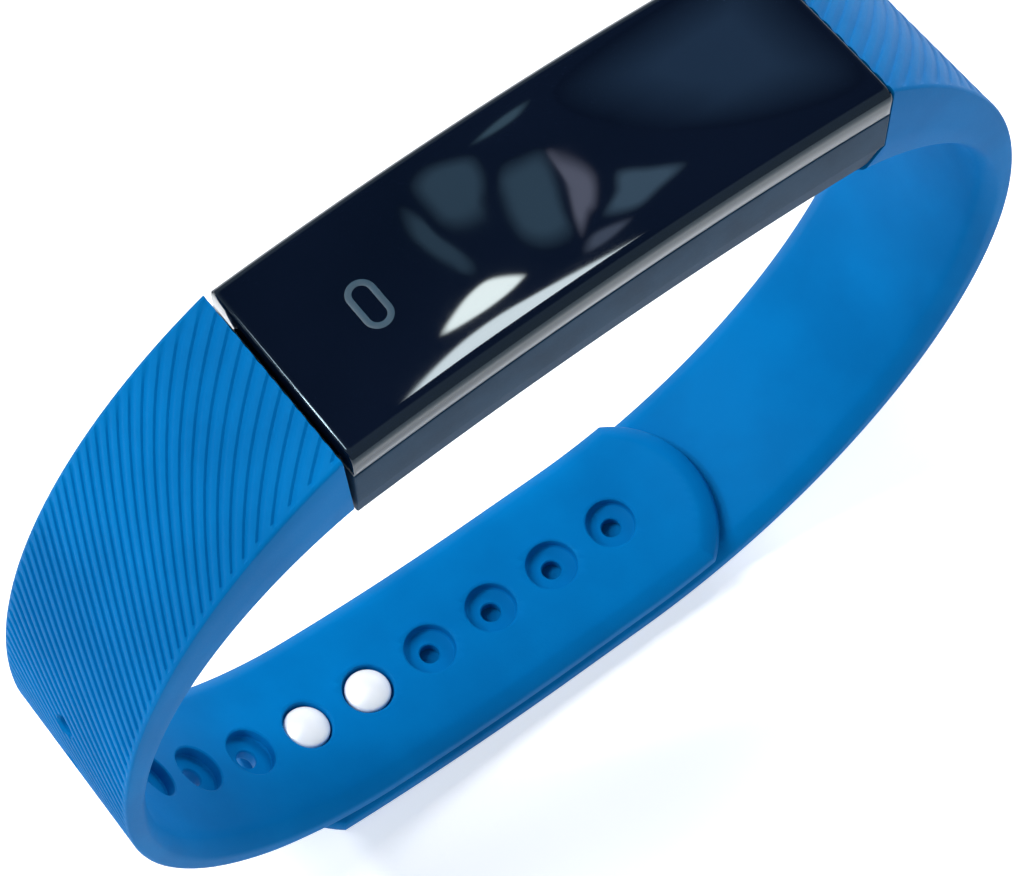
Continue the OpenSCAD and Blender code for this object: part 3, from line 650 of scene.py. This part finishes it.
inside = {
    "lens_seal": seal_and_seam_highlight_mat,
    "plug_tongue": black,
    "display_panel": material("display_dark", (14, 20, 34), (20, 28, 44), (0.1, 0.2), patch=120, grain=900,
                              bump=0.0),
    "display_cable": material("cable_film", (176, 104, 30), (204, 128, 44), (0.25, 0.4), patch=400, grain=3000,
                              bump=0.1, streak=(1, 8, 1)),
    "inner_frame": black,
    "main_board": material("board_green", (12, 70, 44), (20, 92, 58), (0.35, 0.5), patch=900, grain=5000,
                           bump=0.2),
    "battery_cell": material("battery_foil", (178, 182, 188), (204, 207, 212), (0.25, 0.42), metallic=0.9,
                             patch=350, grain=1800, bump=0.6, depth=0.00004),
    "battery_pad": material("foam", (26, 26, 28), (44, 44, 46), (0.85, 0.95), patch=1500, grain=3500, bump=0.9,
                            depth=0.00005),
    "motor_rotor": material("tungsten", (96, 96, 100), (122, 122, 126), (0.35, 0.5), metallic=1.0, patch=900,
                            grain=5000, bump=0.3),
    "chip_antenna": material("ceramic", (214, 206, 186), (230, 224, 206), (0.5, 0.65), patch=1500, grain=8000,
                             bump=0.3),
}
chip = material("chip_epoxy", (20, 20, 22), (32, 32, 34), (0.5, 0.7), patch=1200, grain=9000, bump=0.5)
steel = material("can_steel", (176, 178, 182), (200, 202, 206), (0.22, 0.38), metallic=1.0, patch=600,
                 grain=4000, bump=0.2, streak=(1, 12, 1))
gold = material("contact_gold", (206, 164, 84), (226, 186, 104), (0.18, 0.3), metallic=1.0, patch=800,
                grain=5000, bump=0.1)
for n in ("bluetooth_chip", "memory_chip", "motion_sensor", "charging_chip"):
    inside[n] = chip
for n in ("board_crystal", "motor_case"):
    inside[n] = steel
for n in ("touch_electrode", "charging_contacts"):
    inside[n] = gold
for n, m in inside.items():
    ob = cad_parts[n]
    if not ob.material_slots:
        ob.data.materials.append(m)
    for s in ob.material_slots:
        s.material = m


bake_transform(long_strap)
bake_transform(short_strap)

# ---------------------------------------------------------------- floor, camera and light
cam_pos = Vector((-0.06496, -0.08413, 0.23414))
cam_axes = ((0.7949, -0.6066, -0.014), (0.5446, 0.7032, 0.4571), (-0.2674, -0.3709, 0.8893))
cam = bpy.data.objects.new("camera", bpy.data.cameras.new("camera"))
scene.collection.objects.link(cam)
scene.camera = cam
cam.data.sensor_width = 36
cam.data.lens = 2984.2 / 1024 * 36                   # focal length in pixels of a picture 1024 wide
cam.data.clip_start, cam.data.clip_end = 0.01, 20
cam.matrix_world = Matrix(cam_axes).transposed().to_4x4()
cam.location = cam_pos

floor = new_mesh("floor", [(x, y, 0) for x in (-3, 3) for y in (-3, 3)], [[0, 2, 3, 1]])
floor.data.materials.append(material("floor_white", (243, 243, 244), (247, 247, 247), (0.75, 0.9),
                                     patch=8, grain=800, bump=0.0, emit=((1, 1, 1, 1), 0.48)))

world = bpy.data.worlds.new("studio")
scene.world = world
world.use_nodes = True
nt = world.node_tree
bg = nt.nodes["Background"]
co = nt.nodes.new("ShaderNodeTexCoord")
dot = nt.nodes.new("ShaderNodeVectorMath")
dot.operation = "DOT_PRODUCT"
dot.inputs[1].default_value = Vector((0.34, 0.40, 0.85)).normalized()
nt.links.new(co.outputs["Generated"], dot.inputs[0])
ramp = nt.nodes.new("ShaderNodeValToRGB")
SKY, DARK = (0.82, 0.92, 1.0, 1), (0.05, 0.09, 0.19, 1)
for stop, position, colour in zip(ramp.color_ramp.elements, (0.80, 0.91), (SKY, DARK)):
    stop.position, stop.color = position, colour
nt.links.new(dot.outputs["Value"], ramp.inputs["Fac"])
nt.links.new(ramp.outputs["Color"], bg.inputs["Color"])
bg.inputs["Strength"].default_value = 0.52


def area(name, place, target, size, power):
    """A square light at place, facing target."""
    d = bpy.data.lights.new(name, "AREA")
    d.shape, d.size, d.size_y, d.energy = "RECTANGLE", size, size, power
    o = bpy.data.objects.new(name, d)
    scene.collection.objects.link(o)
    o.location = place
    o.rotation_mode = "QUATERNION"
    o.rotation_quaternion = (Vector(target) - Vector(place)).to_track_quat("-Z", "Y")
    return o


area("key_left", (-0.55, 0.42, 1.15), (0, 0, 0.03), 0.4, 10)
area("gleam", (-0.9, 0.52, 0.97), (0, 0, 0.05), 0.12, 6)
area("key_right", (1.1, 0.4, 0.7), (0, 0, 0.04), 0.7, 11).visible_glossy = False


def lens_point(x, y):
    """A point on the lens, in metres, and its normal."""
    r = BOW - lens_drop(y)
    lean = 2 * CROWN * max(0.0, abs(y) - CROWN_FROM) / (EDGE - CROWN_FROM) ** 2
    n = Vector((x / r, math.copysign(lean, y), math.sqrt(1 - (x / r) ** 2))).normalized()
    return Vector((x, y, BOW_Z + math.sqrt(r * r - x * x))) / 1000, n


def softbox(name, outline, far, strength, colour, core):
    """A light card that fades from its core to its rim. The lens mirrors it where outline says."""
    n = len(outline)
    ring = []
    for i in range(n):                                # a smooth closed curve through the outline's points
        p = [Vector(outline[(i + k) % n]) for k in (-1, 0, 1, 2)]
        for u in (0, 0.25, 0.5, 0.75):
            ring.append(0.5 * (2 * p[1] + (p[2] - p[0]) * u + (2 * p[0] - 5 * p[1] + 4 * p[2] - p[3]) * u * u
                               + (3 * p[1] - p[0] - 3 * p[2] + p[3]) * u ** 3))
    mid = sum(ring, Vector((0, 0))) / len(ring)
    pts = [mid] + [mid + (q - mid) * core for q in ring] + ring
    verts = []
    for x, y in pts:
        p, nrm = lens_point(x, y)
        v = (p - cam_pos).normalized()
        verts.append(p + (v - nrm * (2 * v.dot(nrm))) * far)
    m = len(ring)
    faces = [[0, 1 + i, 1 + (i + 1) % m] for i in range(m)]
    faces += [[1 + i, 1 + m + i, 1 + m + (i + 1) % m, 1 + (i + 1) % m] for i in range(m)]
    ob = new_mesh(name, verts, faces)
    glow = ob.data.attributes.new("glow", "FLOAT", "POINT")
    glow.data.foreach_set("value", [1.0] * (1 + m) + [0.0] * m)
    mt = bpy.data.materials.new(name)
    mt.use_nodes = True
    nt = mt.node_tree
    e, at, sh = (nt.nodes.new(k) for k in ("ShaderNodeEmission", "ShaderNodeAttribute", "ShaderNodeMath"))
    at.attribute_name, sh.operation = "glow", "MULTIPLY"
    sh.inputs[1].default_value = strength
    nt.links.new(at.outputs["Fac"], sh.inputs[0])
    nt.links.new(sh.outputs[0], e.inputs["Strength"])
    e.inputs["Color"].default_value = (*colour, 1)
    nt.links.new(e.outputs["Emission"], nt.nodes["Material Output"].inputs["Surface"])
    ob.data.materials.append(mt)
    ob.visible_camera = ob.visible_shadow = False


# name, outline on the lens, metres from it, strength, colour, share of the outline that is at full strength
CARDS = (
    ("window_1", [(-13.3, -4.75), (-11.3, -3.8), (-9.4, -3.34), (-7.9, -3.44), (-6.1, -4.55), (-6.8, -4.9),
                  (-8.4, -5.1), (-10.7, -5.1)], 1.0, 29, (1, 0.83, 0.72), 0.8),
    ("window_2", [(-18.1, -7.1), (-16.1, -6.45), (-12.8, -5.95), (-9.8, -5.86), (-6.7, -6.1), (-2.9, -6.5),
                  (2.2, -7.14), (-3.4, -7.17), (-7.1, -7.12), (-12, -6.95)], 1.0, 23, (1, 0.85, 0.78), 0.85),
    ("room_1", [(-8.2, 5.62), (-6.5, 6.3), (-4.4, 5.65), (-3.2, 4.84), (-3.3, 3.47), (-4.0, 2.19),
                (-5.8, 0.12), (-8.2, 0.96), (-8.5, 3.34)], 1.3, 1.4, (0.55, 0.8, 1.0), 0.6),
    ("room_2", [(-2.7, 3.0), (-0.9, 3.0), (0.8, 2.29), (0.0, -0.34), (-0.9, -2.19), (-1.9, -4.45),
                (-4.0, -4.14), (-5.0, -2.32), (-4.3, 0.62)], 1.3, 1.5, (0.55, 0.8, 1.0), 0.6),
    ("room_3", [(0.8, 2.3), (2.1, 0.6), (2.4, -1.36), (0.9, -3.43), (-0.1, -3.83), (-1.6, -4.9), (-1.3, -3.6),
                (-0.5, -2.0), (0.3, -0.3)], 1.2, 2.9, (1.0, 0.8, 0.95), 0.55),
    ("room_4", [(3.5, -1.9), (5.6, -3.0), (7.8, -4.4), (5, -5.0), (2.6, -5.3), (0.4, -4.3), (2.2, -3.2)],
     1.2, 2.1, (0.6, 0.8, 1.0), 0.6),
    ("room_5", [(-3.2, 5.61), (-0.1, 6.15), (2.5, 6.1), (1.2, 5.42), (-1.5, 5.3)],
     1.2, 1.8, (0.6, 0.85, 1.0), 0.5),
    ("room_6", [(-9.6, 4.9), (-8.9, 3.65), (-8.8, 1.41), (-8.1, -1.84), (-9.0, -2.7), (-10.1, -0.34),
                (-10.5, 2.62)], 1.3, 1.2, (0.55, 0.8, 1.0), 0.5),
    ("room_7", [(-0.9, -4.81), (2.3, -5.5), (-0.1, -6.0), (-2.3, -5.8)], 1.2, 2.0, (0.85, 0.8, 1.0), 0.5),
    ("room_8", [(4, 5.6), (12, 6.8), (20, 6.9), (22.4, 6.2), (22.5, 0), (22.0, -6.0), (16, -5.4),
                (10.0, -2.8), (5.5, 1.0)], 1.4, 1.0, (0.35, 0.6, 1.0), 0.35),
)
for card in CARDS:
    softbox(*card)
